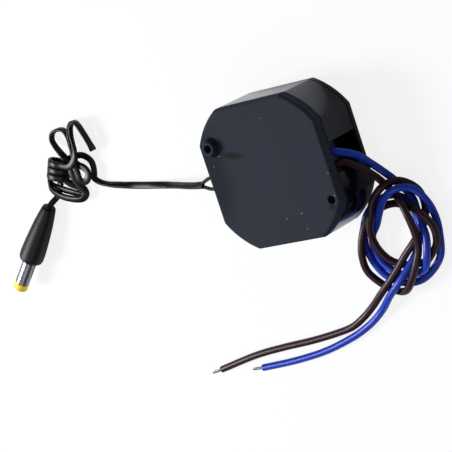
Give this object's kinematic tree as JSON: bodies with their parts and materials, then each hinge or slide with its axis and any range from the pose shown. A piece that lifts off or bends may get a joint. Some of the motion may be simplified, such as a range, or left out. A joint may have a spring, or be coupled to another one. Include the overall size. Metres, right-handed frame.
{
  "type": "cctv power supply",
  "caption": "Shallow black power supply with a round-cornered square case, cable pockets in its sides, loose mains wires and a thin output lead that ends in a barrel plug.",
  "frame": {"origin": "centre of the case's back face", "axes": "+Z out of the case's front face, +X towards the mains wires, +Y completes the right-handed set"},
  "size_m": [0.1948, 0.1051, 0.0247],
  "materials": {
    "face_plastic": "fine texture",
    "case_plastic": "gloss",
    "blue_insulation": "satin",
    "brown_insulation": "satin",
    "tinned_copper": "tinned strands",
    "lead_plastic": "satin",
    "grip_plastic": "soft",
    "nickel_plate": "plated",
    "yellow_plastic": "satin",
    "board_laminate": "solder mask",
    "fuse_lacquer": "lacquered",
    "ferrite": "sintered ceramic",
    "film_plastic": "moulded",
    "black_moulding": "moulded epoxy",
    "capacitor_sleeve": "shrink sleeve",
    "bobbin_plastic": "moulded",
    "winding_tape": "tape",
    "blue_lacquer": "lacquered"
  },
  "bodies": {
    "root": {"front_cover": "face_plastic", "housing_body": "case_plastic", "back_cover": "case_plastic", "mains_wire_blue": "blue_insulation", "mains_wire_brown": "brown_insulation", "blue_wire_tip": "tinned_copper", "brown_wire_tip": "tinned_copper", "dc_leg_positive": "lead_plastic", "dc_leg_negative": "lead_plastic", "dc_lead": "lead_plastic", "dc_lead_bundle": "lead_plastic", "dc_lead_tail": "lead_plastic", "plug_body": "grip_plastic", "plug_sleeve": "nickel_plate", "plug_insulator": "yellow_plastic", "plug_contact": "nickel_plate", "circuit_board": "board_laminate", "fuse_resistor": "fuse_lacquer", "input_choke": "ferrite", "x_capacitor": "film_plastic", "bridge_rectifier": "black_moulding", "input_capacitor": "capacitor_sleeve", "transformer_core": "ferrite", "transformer_bobbin": "bobbin_plastic", "transformer_winding": "winding_tape", "switching_chip": "black_moulding", "optocoupler": "black_moulding", "y_capacitor": "blue_lacquer", "output_diode": "black_moulding", "output_capacitor_a": "capacitor_sleeve", "output_capacitor_b": "capacitor_sleeve", "output_choke": "ferrite"}
  },
  "joints": []
}
